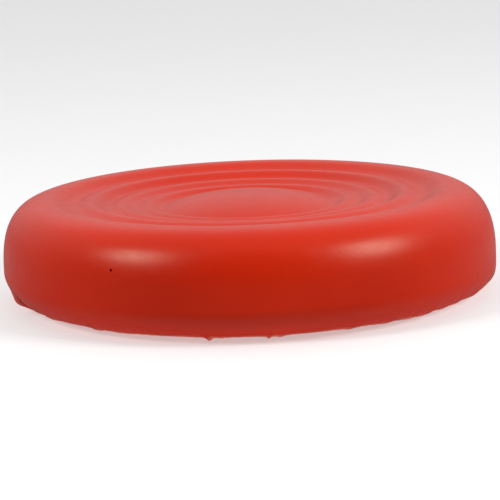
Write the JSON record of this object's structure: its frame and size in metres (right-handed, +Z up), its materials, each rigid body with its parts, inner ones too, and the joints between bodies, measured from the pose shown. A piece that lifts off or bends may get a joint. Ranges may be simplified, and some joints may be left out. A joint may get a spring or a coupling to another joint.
{
  "type": "flying disc",
  "caption": "Soft coated-foam flying disc with rounded ring waves in its top, a low central dome, a thick rounded rim, a pinhole vent and a hollow underside.",
  "frame": {"origin": "middle of the disc at the level of the lip that it stands on, so the whole disc is above z = 0", "axes": "+Z up, along the axis that the disc spins about in flight; -Y and +X only fix where the pinhole vent is, which looks towards -Y and -X"},
  "size_m": [0.24, 0.24, 0.0488],
  "materials": {
    "outer_coat": "satin sprayed elastic coat, orange-red",
    "inner_coat": "sprayed elastic coat, orange-red, duller and slightly pebbled",
    "foam": "matt soft open-cell foam, cream"
  },
  "bodies": {
    "root": {"top_skin": "outer_coat", "underside_skin": "inner_coat", "foam_core": "foam"}
  },
  "joints": []
}
